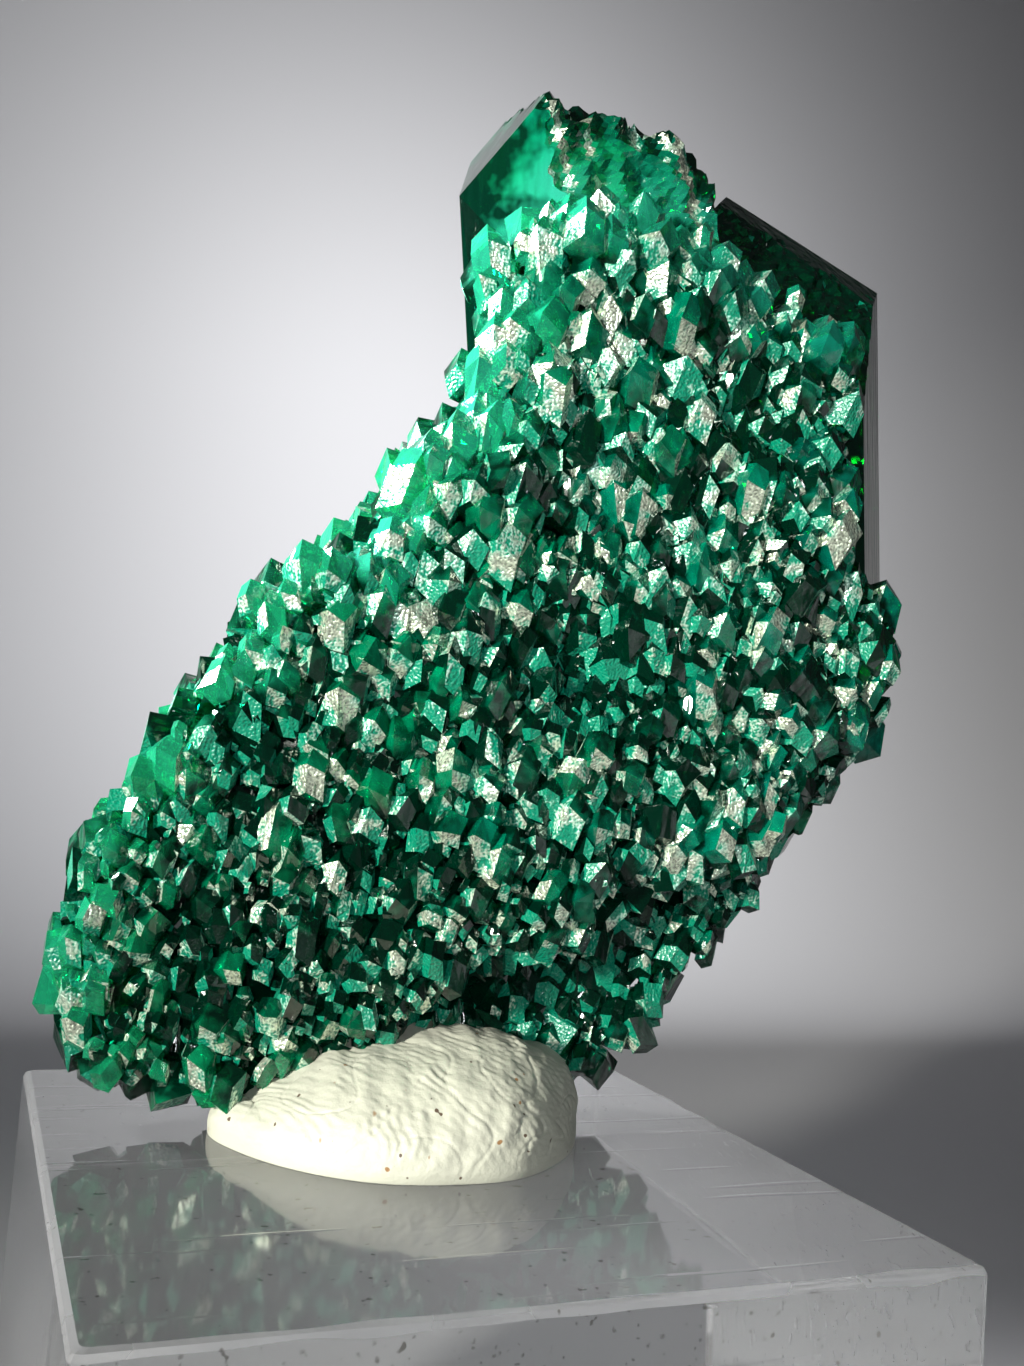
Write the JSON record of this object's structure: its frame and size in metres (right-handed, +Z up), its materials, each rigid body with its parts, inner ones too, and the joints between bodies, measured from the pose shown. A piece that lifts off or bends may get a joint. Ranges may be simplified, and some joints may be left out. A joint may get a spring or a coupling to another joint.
{
  "type": "dioptase specimen on a block",
  "caption": "Plate of intergrown green dioptase crystals over two larger prisms, held upright by a lump of mineral tack on a clear block.",
  "frame": {"origin": "centre of the block's underside, on the surface that it stands on", "axes": "+Z up, +X to the right along the block's front edge, +Y away from the viewer"},
  "size_m": [0.0431, 0.0321, 0.0714],
  "materials": {
    "dioptase": "translucent emerald-green crystal, smooth tip faces and frosted prism faces",
    "tack": "matt off-white putty with fingerprint ridges",
    "acrylic": "clear, polished, with fine scratches and scuffed edges"
  },
  "bodies": {
    "root": {"dioptase_cluster": "dioptase", "mineral_tack": "tack", "acrylic_block": "acrylic"}
  },
  "joints": []
}
